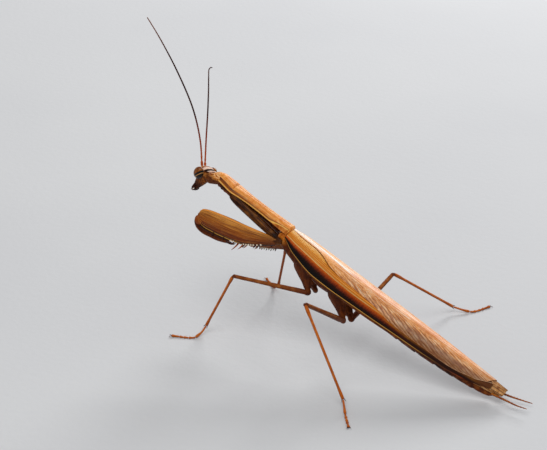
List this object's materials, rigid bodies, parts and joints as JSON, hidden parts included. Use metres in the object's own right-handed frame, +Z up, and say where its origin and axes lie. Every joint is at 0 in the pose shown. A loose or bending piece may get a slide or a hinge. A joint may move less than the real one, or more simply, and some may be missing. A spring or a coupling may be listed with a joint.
{
  "type": "praying mantis",
  "caption": "Life-size brown praying mantis, standing still with folded grasping forelegs, closed wings and raised feelers.",
  "frame": {"origin": "on the floor, under the middle of the animal's box", "axes": "+Z up, head towards -X, tail towards +X, the animal's left side towards -Y"},
  "size_m": [0.0684, 0.0461, 0.0502],
  "materials": {
    "shell": "satin",
    "shield": "satin",
    "wing": "satin",
    "hindwing": "satin",
    "leg": "satin",
    "dark": "satin",
    "eye": "gloss"
  },
  "bodies": {
    "root": {"head": "shell", "eye_left": "eye", "eye_right": "eye", "mouthparts": "dark", "antenna_left": "dark", "antenna_right": "dark", "neck": "shell", "pronotum": "shield", "prosternum": "shell", "mesothorax": "shell", "metathorax": "shell", "abdomen": "leg", "tegmen_left": "wing", "tegmen_right": "wing", "hindwing_left": "hindwing", "hindwing_right": "hindwing", "cercus_left": "leg", "cercus_right": "leg", "fore_left_coxa": "shell", "fore_left_femur": "leg", "fore_left_tibia": "leg", "fore_left_tarsus": "dark", "fore_right_coxa": "shell", "fore_right_femur": "leg", "fore_right_tibia": "leg", "fore_right_tarsus": "dark", "mid_left_coxa": "shell", "mid_left_femur": "leg", "mid_left_tibia": "leg", "mid_left_tarsus": "dark", "mid_right_coxa": "shell", "mid_right_femur": "leg", "mid_right_tibia": "leg", "mid_right_tarsus": "dark", "hind_left_coxa": "shell", "hind_left_femur": "leg", "hind_left_tibia": "leg", "hind_left_tarsus": "dark", "hind_right_coxa": "shell", "hind_right_femur": "leg", "hind_right_tibia": "leg", "hind_right_tarsus": "dark"}
  },
  "joints": []
}
